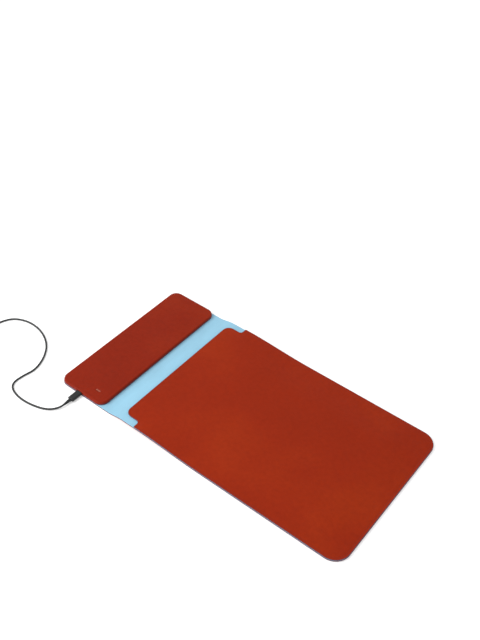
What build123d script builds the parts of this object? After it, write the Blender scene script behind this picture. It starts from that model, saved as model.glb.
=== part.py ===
"""Leather laptop sleeve, laid open as a desk mat, with a wireless charging pad in its flap.

The sleeve lies flat on a table. Its flap, at -X, holds a thin charger with a phone zone and an
earbuds zone, fed by a USB-C cable at the flap's -Y end. The laptop pocket runs from the mouth to
the closed end at +X. A fold line across the lined strip joins the two: the pocket swings up and
over until its front lies on the charging face, which is how the sleeve is closed.

Frame: +X along the sleeve, +Z up, origin on the table under the middle of the open sleeve.
"""
from build123d import *

import math
import os

os.makedirs("parts", exist_ok=True)

# Driving dimensions of the sleeve, in mm
LENGTH = 474.0
WIDTH = 250.0
FLAP_DEPTH = 82.0
STRIP = 33.0
TONGUE_DEPTH = 26.0
TONGUE_MARGIN = 11.3
FLAP_CORNER = 13.0
END_CORNER = 23.0
TONGUE_CORNER = 11.0
NOTCH_INNER_CORNER = 4.2
NOTCH_OUTER_CORNER = 1.5

# Thicknesses of the layers
HIDE = 1.1
LINING = 0.5
REINFORCEMENT = 0.4
CROWN = 4.4
SEAM_BAND = 6.0
CROWN_SLOPE = 30.0
CROWN_RUN_OUT = 46.0
CROWN_CORNERS = (40.0, 20.0)
FACING = 1.2
FACING_EDGE_ROUND = 3.0
TRAY_FLOOR = 0.7
TRAY_WALL = 1.5
TRAY_BEVEL = 1.2
MODULE_SPACE = 2.8
TOP_PLATE = 0.7

# Fold line
FOLD_GAP = 0.3
FOLD_CLEARANCE = 0.4

# Small steps between stacked edges
LINING_INSET = 0.4
FACING_INSET = 0.3
TRAY_INSET = 1.6

# Charger electronics
PHONE_ZONE = (-196.0, 36.0)
EARBUDS_ZONE = (-199.0, -86.0)
PHONE_COIL = (25.0, 10.0)
EARBUDS_COIL = (19.0, 8.0)
COIL_THICKNESS = 0.9
FERRITE_THICKNESS = 0.8
CARRIER_THICKNESS = 1.0
PHONE_FERRITE = 53.0
EARBUDS_FERRITE = 41.0
FERRITE_CORNER = 3.0
BOARD_THICKNESS = 0.8
PORT_BOARD = (56.0, 12.5)
DRIVER_BOARD = (58.0, 46.0)
DRIVER_BOARD_Y = -31.0
STATUS_LIGHT = (-178.6, -107.4)
STATUS_LIGHT_SIZE = (8.0, 2.0)
SCREW_RADIUS = 0.75
SCREW_HEAD_RADIUS = 1.45
SCREW_LENGTH = 2.3
SCREW_CLEARANCE = 0.05
BOSS_RADIUS = 2.0
BOSS_INSET = 7.5
MAGNET = (10.0, 4.0, 2.0)
CLOSURE_Y = 84.0
CLOSURE_X = -230.0
CLOSURE_DISC_RADIUS = 5.0

# USB-C port and plugs
PORT_X = -198.5
PORT_HEIGHT = 3.45
PORT_SHELL = (8.94, 3.2)
PORT_DEPTH = 7.3
SHELL_WALL = 0.3
PORT_TONGUE = (6.69, 0.7)
PORT_TONGUE_LENGTH = 4.5
PORT_TONGUE_BASE = 1.8
PLUG_SHELL = (8.2, 2.4)
PLUG_SHELL_LENGTH = 6.65
PLUG_SLOT = (7.0, 1.0)
OVERMOLD = (10.2, 5.2)
OVERMOLD_LENGTH = 17.0
OVERMOLD_CORNER = 2.4
OVERMOLD_ROUND = 0.8
RELIEF_LENGTH = 12.0
RELIEF_RADII = (2.45, 1.65)
PLUG_GAP = 0.4

# Cord
CORD_RADIUS = 1.45
COIL_CENTRE = (-416.5, -168.0)
COIL_TURNS_WIDE = 3
COIL_TURNS_HIGH = 2
COIL_MEAN_RADIUS = 18.0
TIE_THICKNESS = 0.55
TIE_ARC = 24.0
FAR_PLUG_OFFSET = (-31.0, 18.0)
FAR_PLUG_HEIGHT = 2.65

# Worked out from the above
X_FLAP_END = -LENGTH / 2
X_CLOSED_END = LENGTH / 2
X_FLAP_EDGE = X_FLAP_END + FLAP_DEPTH
X_MOUTH = X_FLAP_EDGE + STRIP
X_SEAM_END = X_MOUTH + TONGUE_DEPTH
X_FOLD = (X_FLAP_EDGE + X_MOUTH) / 2
X_FLAP_MIDDLE = (X_FLAP_END + X_FLAP_EDGE) / 2
Y_CABLE_SIDE = -WIDTH / 2

Z_MODULE = HIDE + LINING
Z_FLOOR = Z_MODULE + TRAY_FLOOR
Z_PLATE = Z_FLOOR + MODULE_SPACE
Z_FACING = Z_PLATE + TOP_PLATE
Z_FLAP_TOP = Z_FACING + FACING
Z_BOARD_TOP = Z_FLOOR + BOARD_THICKNESS
Z_FERRITE = Z_FLOOR + CARRIER_THICKNESS
Z_COIL = Z_FERRITE + FERRITE_THICKNESS

Z_POCKET_FLOOR = HIDE + LINING
Z_FRONT_LEATHER = Z_POCKET_FLOOR + LINING
Z_POCKET_TOP = Z_FRONT_LEATHER + HIDE + CROWN
Z_FOLD_AXIS = (Z_FLAP_TOP + Z_POCKET_TOP + FOLD_CLEARANCE) / 2


def save(piece, name):
    """Label a finished piece and write it as one STEP file."""
    piece.part.label = name
    export_step(piece.part, f"parts/{name}.step")


# ------------------------------------------------------------------ outlines

def sheet_outline(x_cut, x_end, corner, z, inset=0.0):
    """Sheet that is cut straight at the fold line and has a rounded far end."""
    x_far = x_end - math.copysign(inset, x_end - x_cut)
    with BuildSketch(Plane.XY.offset(z)) as outline:
        with Locations(((x_cut + x_far) / 2, 0)):
            Rectangle(abs(x_far - x_cut), WIDTH - 2 * inset)
        far_corners = outline.vertices().filter_by_position(Axis.X, x_far - 1, x_far + 1)
        fillet(far_corners, corner - inset)
    return outline.sketch


def flap_outline(z, inset):
    """Rounded outline of the charging panel, drawn in from the flap's own edge."""
    with BuildSketch(Plane.XY.offset(z)) as outline:
        with Locations((X_FLAP_MIDDLE, 0)):
            RectangleRounded(FLAP_DEPTH - 2 * inset, WIDTH - 2 * inset, FLAP_CORNER - inset)
    return outline.sketch


def housing_block():
    """Closed charger housing with its upper edge bevelled, which the tray and the plate divide."""
    with BuildPart(mode=Mode.PRIVATE) as block:
        extrude(flap_outline(Z_MODULE, TRAY_INSET), amount=Z_FACING - Z_MODULE)
        chamfer(block.faces().sort_by(Axis.Z)[-1].edges(), TRAY_BEVEL)
    return block.part


def front_outline(z, inset=0.0):
    """Front panel of the pocket: rounded closed end, side seams, and the tongue at the mouth."""
    x_low = X_MOUTH + inset
    x_seam = X_SEAM_END + inset
    x_high = X_CLOSED_END - inset
    tongue_width = WIDTH - 2 * (TONGUE_MARGIN + inset)
    with BuildSketch(Plane.XY.offset(z)) as outline:
        with Locations(((x_seam + x_high) / 2, 0)):
            Rectangle(x_high - x_seam, WIDTH - 2 * inset)
        with Locations(((x_low + x_seam + 1) / 2, 0)):
            Rectangle(x_seam + 1 - x_low, tongue_width)
        by_x = outline.vertices().group_by(Axis.X)
        mouth, notch, end = by_x[0], by_x[1], by_x[-1]
        half = tongue_width / 2 + 1
        inner = notch.filter_by_position(Axis.Y, -half, half)
        outer = notch - inner
        fillet(end, END_CORNER - inset)
        fillet(mouth, TONGUE_CORNER)
        fillet(inner, NOTCH_INNER_CORNER)
        fillet(outer, NOTCH_OUTER_CORNER)
    return outline.sketch


def below_crown(z):
    """Space under a skin that is flat at height z round the seams and crowned in the middle."""
    with BuildPart(mode=Mode.PRIVATE) as space:
        with BuildSketch():
            with Locations(((X_MOUTH + X_CLOSED_END) / 2, 0)):
                Rectangle(LENGTH, WIDTH + 20)
        extrude(amount=z)
        levels = ((z, SEAM_BAND), (z + CROWN, SEAM_BAND + CROWN_SLOPE))
        for (height, step), corner in zip(levels, CROWN_CORNERS):
            x_high = X_CLOSED_END - step
            x_low = X_MOUTH - CROWN_RUN_OUT + step
            with BuildSketch(Plane.XY.offset(height)):
                with Locations(((x_low + x_high) / 2, 0)):
                    RectangleRounded(x_high - x_low, WIDTH - 2 * step, corner)
        loft(ruled=True)
    return space.part


def front_layer(z_low, thickness, inset):
    """One layer of the pocket's crowned front panel."""
    with BuildPart() as layer:
        extrude(front_outline(0, inset), amount=2 * Z_POCKET_TOP)
        add(below_crown(z_low + thickness), mode=Mode.INTERSECT)
        add(below_crown(z_low), mode=Mode.SUBTRACT)
    return layer


# ------------------------------------------------------------------ flap skins (body: charger)

with BuildPart() as flap_back_leather:
    extrude(sheet_outline(X_FOLD - FOLD_GAP, X_FLAP_END, FLAP_CORNER, 0), amount=HIDE)
save(flap_back_leather, "flap_back_leather")

with BuildPart() as flap_lining:
    extrude(sheet_outline(X_FOLD - FOLD_GAP, X_FLAP_END, FLAP_CORNER, HIDE, LINING_INSET), amount=LINING)
save(flap_lining, "flap_lining")

with BuildPart() as charging_panel_leather:
    extrude(flap_outline(Z_MODULE, FACING_INSET), amount=Z_FLAP_TOP - Z_MODULE)
    fillet(charging_panel_leather.faces().sort_by(Axis.Z)[-1].edges(), FACING_EDGE_ROUND)
    extrude(flap_outline(Z_MODULE, TRAY_INSET), amount=Z_FACING - Z_MODULE, mode=Mode.SUBTRACT)
    with BuildSketch(Plane((PORT_X, Y_CABLE_SIDE - 1, PORT_HEIGHT), (1, 0, 0), (0, 1, 0))):
        SlotOverall(PORT_SHELL[0] + 0.4, PORT_SHELL[1] + 0.4)
    extrude(amount=1 + TRAY_INSET, mode=Mode.SUBTRACT)
    with BuildSketch(Plane.XY.offset(Z_FACING)):
        with Locations(STATUS_LIGHT):
            SlotOverall(*STATUS_LIGHT_SIZE)
    extrude(amount=FACING, mode=Mode.SUBTRACT)
save(charging_panel_leather, "charging_panel_leather")

# ------------------------------------------------------------------ charger housing

boss_x = FLAP_DEPTH / 2 - BOSS_INSET
boss_y = WIDTH / 2 - BOSS_INSET
BOSSES = [
    (X_FLAP_MIDDLE + side * boss_x, y)
    for side in (-1, 1)
    for y in (-boss_y, 1.0, boss_y)
]

with BuildPart() as charger_base_tray:
    extrude(flap_outline(Z_MODULE, TRAY_INSET), amount=Z_PLATE - Z_MODULE)
    extrude(flap_outline(Z_FLOOR, TRAY_INSET + TRAY_WALL), amount=MODULE_SPACE, mode=Mode.SUBTRACT)
    with BuildSketch(Plane.XY.offset(Z_FLOOR)):
        with Locations(*BOSSES):
            Circle(BOSS_RADIUS)
    extrude(amount=MODULE_SPACE)
    with BuildSketch(Plane.XY.offset(Z_PLATE)):
        with Locations(*BOSSES):
            Circle(SCREW_RADIUS + SCREW_CLEARANCE)
    extrude(amount=-(SCREW_LENGTH - TOP_PLATE + SCREW_CLEARANCE), mode=Mode.SUBTRACT)
    port_bay = PORT_SHELL[0] + 0.3
    port_bay_depth = PORT_DEPTH + 0.2
    with BuildSketch(Plane.XY.offset(Z_MODULE)):
        with Locations((PORT_X, Y_CABLE_SIDE + TRAY_INSET + port_bay_depth / 2)):
            Rectangle(port_bay, port_bay_depth)
    extrude(amount=Z_PLATE - Z_MODULE, mode=Mode.SUBTRACT)
    add(housing_block(), mode=Mode.INTERSECT)
save(charger_base_tray, "charger_base_tray")

with BuildPart() as charger_top_plate:
    extrude(flap_outline(Z_PLATE, TRAY_INSET), amount=TOP_PLATE)
    with Locations(*[(x, y, Z_FACING) for x, y in BOSSES]):
        CounterSinkHole(SCREW_RADIUS + SCREW_CLEARANCE, SCREW_HEAD_RADIUS + SCREW_CLEARANCE, TOP_PLATE)
    with BuildSketch(Plane.XY.offset(Z_PLATE)):
        with Locations(STATUS_LIGHT):
            SlotOverall(*STATUS_LIGHT_SIZE)
    extrude(amount=TOP_PLATE, mode=Mode.SUBTRACT)
    add(housing_block(), mode=Mode.INTERSECT)
save(charger_top_plate, "charger_top_plate")

with BuildPart() as tray_screws:
    for x, y in BOSSES:
        head = SCREW_HEAD_RADIUS - SCREW_RADIUS
        with BuildSketch(Plane.XZ.offset(-y)):
            with BuildLine():
                Polyline(
                    (x, Z_FACING - SCREW_LENGTH),
                    (x + SCREW_RADIUS, Z_FACING - SCREW_LENGTH),
                    (x + SCREW_RADIUS, Z_FACING - head),
                    (x + SCREW_HEAD_RADIUS, Z_FACING),
                    (x, Z_FACING),
                    close=True,
                )
            make_face()
        revolve(axis=Axis((x, y, 0), (0, 0, 1)))
save(tray_screws, "tray_screws")

with BuildPart() as status_light_window:
    with BuildSketch(Plane.XY.offset(Z_PLATE)):
        with Locations(STATUS_LIGHT):
            SlotOverall(*STATUS_LIGHT_SIZE)
    extrude(amount=Z_FLAP_TOP - Z_PLATE)
save(status_light_window, "status_light_window")

with BuildPart() as closure_magnets:
    with BuildSketch(Plane.XY.offset(Z_FLOOR)):
        with Locations((CLOSURE_X, -CLOSURE_Y + 40), (CLOSURE_X, CLOSURE_Y)):
            Rectangle(MAGNET[1], MAGNET[0])
    extrude(amount=MAGNET[2])
save(closure_magnets, "closure_magnets")

# ------------------------------------------------------------------ coils


def square_pad(centre, side, z, thickness):
    """Square pad with rounded corners under a coil."""
    with BuildPart() as pad:
        with BuildSketch(Plane.XY.offset(z)):
            with Locations(centre):
                RectangleRounded(side, side, FERRITE_CORNER)
        extrude(amount=thickness)
    return pad


def flat_coil(centre, outer, inner):
    """Flat wound coil."""
    with BuildPart() as coil:
        with BuildSketch(Plane.XY.offset(Z_COIL)):
            with Locations(centre):
                Circle(outer)
                Circle(inner, mode=Mode.SUBTRACT)
        extrude(amount=COIL_THICKNESS)
    return coil


def coil_leads(centre, outer, y_end):
    """Pair of short wires from the rim of a coil to the board beside it."""
    y_rim = centre[1] + math.copysign(outer + 0.1, y_end - centre[1])
    with BuildPart() as leads:
        with BuildSketch(Plane.XY.offset(Z_COIL)):
            with Locations((centre[0] - 4, (y_rim + y_end) / 2), (centre[0] + 4, (y_rim + y_end) / 2)):
                Rectangle(1.0, abs(y_end - y_rim))
        extrude(amount=COIL_THICKNESS)
    return leads


COILS = {
    "phone": (PHONE_ZONE, PHONE_COIL, PHONE_FERRITE, DRIVER_BOARD_Y + DRIVER_BOARD[1] / 2 - 4),
    "earbuds": (EARBUDS_ZONE, EARBUDS_COIL, EARBUDS_FERRITE, DRIVER_BOARD_Y - DRIVER_BOARD[1] / 2 + 4),
}
for zone, (centre, (outer, inner), side, y_end) in COILS.items():
    save(square_pad(centre, side, Z_FLOOR, CARRIER_THICKNESS), f"{zone}_coil_carrier")
    save(square_pad(centre, side, Z_FERRITE, FERRITE_THICKNESS), f"{zone}_ferrite_plate")
    save(flat_coil(centre, outer, inner), f"{zone}_coil")
    save(coil_leads(centre, outer, y_end), f"{zone}_coil_leads")

with BuildPart() as coil_temperature_sensors:
    with BuildSketch(Plane.XY.offset(Z_COIL)):
        with Locations(PHONE_ZONE, EARBUDS_ZONE):
            RectangleRounded(3.2, 2.0, 0.5)
    extrude(amount=0.8)
save(coil_temperature_sensors, "coil_temperature_sensors")

# ------------------------------------------------------------------ boards

port_board_y = Y_CABLE_SIDE + TRAY_INSET + TRAY_WALL + 1.0 + PORT_BOARD[1] / 2
with BuildPart() as port_board:
    with BuildSketch(Plane.XY.offset(Z_FLOOR)):
        with Locations((X_FLAP_MIDDLE, port_board_y)):
            Rectangle(*PORT_BOARD)
        with Locations((PORT_X, port_board_y - PORT_BOARD[1] / 2)):
            Rectangle(port_bay, 2 * (port_bay_depth - TRAY_WALL - 1.0), mode=Mode.SUBTRACT)
    extrude(amount=BOARD_THICKNESS)
save(port_board, "port_board")

with BuildPart() as driver_board:
    with BuildSketch(Plane.XY.offset(Z_FLOOR)):
        with Locations((X_FLAP_MIDDLE, DRIVER_BOARD_Y)):
            RectangleRounded(*DRIVER_BOARD, 1.0)
    extrude(amount=BOARD_THICKNESS)
save(driver_board, "driver_board")

flex_x = X_FLAP_MIDDLE + DRIVER_BOARD[0] / 2 - 5
flex_low = port_board_y + PORT_BOARD[1] / 2
flex_high = DRIVER_BOARD_Y - DRIVER_BOARD[1] / 2
with BuildPart() as board_flex_cable:
    with BuildSketch(Plane.XY.offset(Z_FLOOR)):
        with Locations((flex_x, (flex_low + flex_high) / 2)):
            Rectangle(5.0, flex_high - flex_low - 0.1)
    extrude(amount=0.3)
save(board_flex_cable, "board_flex_cable")


def board_chips(places, size, height):
    """Block-shaped components standing on the boards, one solid at each place."""
    with BuildPart() as chips:
        with BuildSketch(Plane.XY.offset(Z_BOARD_TOP)):
            with Locations(*places):
                Rectangle(*size)
        extrude(amount=height)
    return chips


board_row = [(X_FLAP_MIDDLE + dx, DRIVER_BOARD_Y) for dx in (-20.0, -8.0, 4.0)]
save(board_chips([board_row[1]], (7.0, 7.0), 0.9), "controller_chip")
save(board_chips([(x, y - 9) for x, y in board_row], (5.0, 5.0), 0.9), "coil_driver_chips")
save(board_chips([(x, y + 9) for x, y in board_row], (3.2, 1.6), 1.4), "resonant_capacitors")
save(board_chips([(X_FLAP_MIDDLE + 17, DRIVER_BOARD_Y)], (7.0, 7.0), 1.8), "power_inductor")
save(board_chips([(X_FLAP_MIDDLE - 16, port_board_y + 1)], (4.0, 4.0), 0.8), "usb_power_chip")
save(board_chips([STATUS_LIGHT], (1.6, 0.8), 0.6), "status_led")

# ------------------------------------------------------------------ USB-C port

port_mouth = Plane((PORT_X, Y_CABLE_SIDE + TRAY_INSET, PORT_HEIGHT), (1, 0, 0), (0, 1, 0))
port_inside = (PORT_SHELL[0] - 2 * SHELL_WALL, PORT_SHELL[1] - 2 * SHELL_WALL)

with BuildPart() as usb_c_port_shell:
    with BuildSketch(port_mouth):
        SlotOverall(*PORT_SHELL)
    extrude(amount=PORT_DEPTH)
    with BuildSketch(port_mouth):
        SlotOverall(*port_inside)
    extrude(amount=PORT_DEPTH - SHELL_WALL, mode=Mode.SUBTRACT)
save(usb_c_port_shell, "usb_c_port_shell")

tongue_root = port_mouth.offset(PORT_DEPTH - SHELL_WALL)
with BuildPart() as usb_c_port_tongue:
    with BuildSketch(tongue_root):
        RectangleRounded(port_inside[0] - 1.0, port_inside[1] - 0.3, 0.6)
    extrude(amount=-PORT_TONGUE_BASE)
    with BuildSketch(tongue_root.offset(-PORT_TONGUE_BASE)):
        Rectangle(*PORT_TONGUE)
    extrude(amount=-PORT_TONGUE_LENGTH)
save(usb_c_port_tongue, "usb_c_port_tongue")

# ------------------------------------------------------------------ pocket (body: pocket)

def reinforcement_outline():
    """Outline of the stiffening board let into the back hide."""
    with BuildSketch(Plane.XY.offset(HIDE - REINFORCEMENT)) as outline:
        with Locations(((X_SEAM_END + X_CLOSED_END) / 2, 0)):
            RectangleRounded(X_CLOSED_END - X_SEAM_END - 2 * SEAM_BAND, WIDTH - 4 * SEAM_BAND, END_CORNER)
    return outline.sketch


with BuildPart() as pocket_back_leather:
    extrude(sheet_outline(X_FOLD + FOLD_GAP, X_CLOSED_END, END_CORNER, 0), amount=HIDE)
    extrude(reinforcement_outline(), amount=REINFORCEMENT, mode=Mode.SUBTRACT)
save(pocket_back_leather, "pocket_back_leather")

with BuildPart() as pocket_back_reinforcement:
    extrude(reinforcement_outline(), amount=REINFORCEMENT)
save(pocket_back_reinforcement, "pocket_back_reinforcement")

with BuildPart() as pocket_back_lining:
    extrude(sheet_outline(X_FOLD + FOLD_GAP, X_CLOSED_END, END_CORNER, HIDE, LINING_INSET), amount=LINING)
save(pocket_back_lining, "pocket_back_lining")

x_disc = 2 * X_FOLD - CLOSURE_X
DISCS = [(x_disc, -CLOSURE_Y + 40), (x_disc, CLOSURE_Y)]

with BuildPart() as pocket_front_lining:
    add(front_layer(Z_POCKET_FLOOR, LINING, LINING_INSET).part)
    with BuildSketch():
        with Locations(*DISCS):
            Circle(CLOSURE_DISC_RADIUS)
    extrude(amount=2 * Z_POCKET_TOP, mode=Mode.SUBTRACT)
save(pocket_front_lining, "pocket_front_lining")

with BuildPart() as closure_steel_discs:
    with BuildSketch(Plane.XY.offset(Z_POCKET_FLOOR + CROWN)):
        with Locations(*DISCS):
            Circle(CLOSURE_DISC_RADIUS)
    extrude(amount=LINING)
save(closure_steel_discs, "closure_steel_discs")

save(front_layer(Z_FRONT_LEATHER, HIDE, 0.0), "pocket_front_leather")

# ------------------------------------------------------------------ cable (body: cable)


def save_plug(prefix, face):
    """USB-C plug. The plane lies on the overmold's front face and looks the way the plug goes in."""
    with BuildPart() as overmold:
        with BuildSketch(face):
            RectangleRounded(*OVERMOLD, OVERMOLD_CORNER)
        extrude(amount=-OVERMOLD_LENGTH)
        fillet(overmold.faces().sort_by(Axis(face.origin, face.z_dir)).first.edges(), OVERMOLD_ROUND)
    save(overmold, f"{prefix}_plug_overmold")

    with BuildPart() as relief:
        with BuildSketch(face.offset(-OVERMOLD_LENGTH)):
            Circle(RELIEF_RADII[0])
        with BuildSketch(face.offset(-OVERMOLD_LENGTH - RELIEF_LENGTH)):
            Circle(RELIEF_RADII[1])
        loft()
    save(relief, f"{prefix}_strain_relief")

    inside = (PLUG_SHELL[0] - 2 * SHELL_WALL, PLUG_SHELL[1] - 2 * SHELL_WALL)
    with BuildPart() as shell:
        with BuildSketch(face):
            SlotOverall(*PLUG_SHELL)
            SlotOverall(*inside, mode=Mode.SUBTRACT)
        extrude(amount=PLUG_SHELL_LENGTH)
    save(shell, f"{prefix}_plug_shell")

    with BuildPart() as insert:
        with BuildSketch(face):
            SlotOverall(*inside)
        extrude(amount=PLUG_SHELL_LENGTH - 0.2)
        with BuildSketch(face.offset(0.8)):
            Rectangle(*PLUG_SLOT)
        extrude(amount=PLUG_SHELL_LENGTH, mode=Mode.SUBTRACT)
    save(insert, f"{prefix}_plug_insert")


near_face = Plane((PORT_X, Y_CABLE_SIDE + FACING_INSET - PLUG_GAP, PORT_HEIGHT), (1, 0, 0), (0, 1, 0))
far_face = Plane(
    (COIL_CENTRE[0] + FAR_PLUG_OFFSET[0], COIL_CENTRE[1] + FAR_PLUG_OFFSET[1], FAR_PLUG_HEIGHT),
    (1, 0, 0),
    (0, 1, 0),
)
save_plug("near", near_face)
save_plug("far", far_face)

relief_end = OVERMOLD_LENGTH + RELIEF_LENGTH
near_exit = near_face.offset(-relief_end).origin
far_exit = far_face.offset(-relief_end).origin
coil_x, coil_y = COIL_CENTRE

print("fold axis height", Z_FOLD_AXIS)

CORD_ROUTE = [
    (near_exit.X, near_exit.Y, near_exit.Z),
    (-199.0, -161.0, 2.9),
    (-208.0, -172.5, 1.8),
    (-224.0, -180.0, 1.5),
    (-250.0, -184.5, 1.5),
    (-273.0, -181.0, 1.5),
    (-285.0, -171.0, 1.5),
    (-284.0, -152.0, 1.5),
    (-279.5, -133.0, 1.5),
    (-288.0, -108.0, 1.5),
    (-305.0, -86.0, 1.5),
    (-331.0, -72.5, 1.5),
    (-359.0, -69.5, 1.5),
    (-383.0, -78.0, 1.5),
    (-394.0, -95.0, 1.5),
    (-397.0, -119.0, 1.5),
    (-394.0, -143.0, 1.7),
    (coil_x + 20.9, coil_y, 2.05),
]

TAIL_ROUTE = [
    (coil_x + 20.4, coil_y - 4.5, 4.95),
    (coil_x + 18.2, coil_y - 18.2, 4.5),
    (coil_x + 5.1, coil_y - 29.0, 3.5),
    (coil_x - 12.2, coil_y - 31.0, 2.6),
    (coil_x - 28.5, coil_y - 24.0, 2.5),
    (far_exit.X, far_exit.Y, far_exit.Z),
]


def bend_radii(route):
    """Largest arc at each corner that leaves a tenth of the shorter run straight."""
    points = [Vector(*point) for point in route]
    radii = []
    for before, corner, after in zip(points, points[1:], points[2:]):
        arrive = corner - before
        leave = after - corner
        half_turn = math.radians(arrive.get_angle(leave)) / 2
        radii.append(0.45 * min(arrive.length, leave.length) / math.tan(half_turn))
    return radii


def cord_tube(route, name):
    """Round cord along straight runs joined by tangent arcs."""
    radii = bend_radii(route)
    with BuildPart() as tube:
        with BuildLine() as path:
            FilletPolyline(*route, radius=radii)
        with BuildSketch(Plane(origin=path.line @ 0, z_dir=path.line % 0)):
            Circle(CORD_RADIUS)
        sweep()
    save(tube, name)
    length = path.wires()[0].length
    print(name, "length", round(length, 1), "radii", [round(radius, 1) for radius in radii])
    print(name, "volume over section times length", tube.part.volume / (math.pi * CORD_RADIUS**2 * length))


cord_tube(CORD_ROUTE, "cord_tube")
cord_tube(TAIL_ROUTE, "cord_tail")

coil_width = 2 * CORD_RADIUS * COIL_TURNS_WIDE
coil_height = 2 * CORD_RADIUS * COIL_TURNS_HIGH
coil_axis = Axis((coil_x, coil_y, 0), (0, 0, 1))
coil_middle = (coil_x + COIL_MEAN_RADIUS, TIE_THICKNESS + 0.05 + coil_height / 2)

with BuildPart() as cord_coil:
    with BuildSketch(Plane.XZ.offset(-coil_y)):
        with Locations(coil_middle):
            RectangleRounded(coil_width, coil_height, CORD_RADIUS * 0.9)
    revolve(axis=coil_axis)
save(cord_coil, "cord_coil")

with BuildPart() as cord_tie:
    with BuildSketch(Plane.XZ.offset(-coil_y)):
        with Locations(coil_middle):
            RectangleRounded(
                coil_width + 2 * TIE_THICKNESS,
                coil_height + 2 * TIE_THICKNESS,
                CORD_RADIUS * 0.9 + TIE_THICKNESS,
            )
            RectangleRounded(coil_width, coil_height, CORD_RADIUS * 0.9, mode=Mode.SUBTRACT)
    revolve(axis=coil_axis, revolution_arc=TIE_ARC)
save(cord_tie, "cord_tie")
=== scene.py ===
"""Looks for the open leather laptop sleeve with a charging flap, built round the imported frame.

All lengths are in metres, in the frame's own axes. Heights of the leather come from a few smooth
functions, so every skin, lining and stitch that lies on another follows the same surface.
"""

import math

import bmesh
import bpy
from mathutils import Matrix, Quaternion, Vector
from mathutils.geometry import delaunay_2d_cdt


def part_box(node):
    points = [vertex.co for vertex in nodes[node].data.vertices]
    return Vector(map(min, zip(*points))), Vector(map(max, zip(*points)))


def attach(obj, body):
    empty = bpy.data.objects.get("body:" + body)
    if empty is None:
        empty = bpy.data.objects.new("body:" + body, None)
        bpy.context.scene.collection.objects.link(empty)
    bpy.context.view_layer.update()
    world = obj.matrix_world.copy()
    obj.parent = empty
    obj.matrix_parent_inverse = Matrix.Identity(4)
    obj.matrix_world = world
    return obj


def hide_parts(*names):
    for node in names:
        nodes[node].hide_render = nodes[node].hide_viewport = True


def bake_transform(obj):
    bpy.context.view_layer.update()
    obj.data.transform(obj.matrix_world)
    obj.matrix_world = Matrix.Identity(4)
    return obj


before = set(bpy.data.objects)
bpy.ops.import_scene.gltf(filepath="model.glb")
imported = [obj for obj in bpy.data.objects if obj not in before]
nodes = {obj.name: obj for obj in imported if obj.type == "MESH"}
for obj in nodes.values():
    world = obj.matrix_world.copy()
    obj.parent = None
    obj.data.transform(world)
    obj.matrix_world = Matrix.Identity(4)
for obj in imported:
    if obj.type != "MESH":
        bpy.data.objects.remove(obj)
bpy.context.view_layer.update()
MM = 0.001

# ------------------------------------------------------------------ camera

CAMERA_PLACE = Vector((0.4508, -0.6572, 0.911))
CAMERA_TARGET = Vector((-0.12, 0.1422, 0.0))
CAMERA_ROLL = 3.266
CAMERA_LENS = 48.6


def make_camera():
    """Camera at the object's usual viewing angle."""
    data = bpy.data.cameras.new("camera")
    data.sensor_width = 36
    data.lens = CAMERA_LENS
    camera = bpy.data.objects.new("camera", data)
    bpy.context.scene.collection.objects.link(camera)
    camera.location = CAMERA_PLACE
    camera.rotation_mode = "QUATERNION"
    look = (CAMERA_TARGET - CAMERA_PLACE).to_track_quat("-Z", "Y")
    camera.rotation_quaternion = look @ Quaternion((0, 0, 1), math.radians(CAMERA_ROLL))
    bpy.context.scene.camera = camera


make_camera()

# ------------------------------------------------------------------ materials


def linear(red, green, blue):
    """Linear colour of a screen colour given as three numbers up to 255."""
    channels = []
    for value in (red, green, blue):
        share = value / 255
        channels.append(share / 12.92 if share <= 0.04045 else ((share + 0.055) / 1.055) ** 2.4)
    return (*channels, 1.0)


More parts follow.
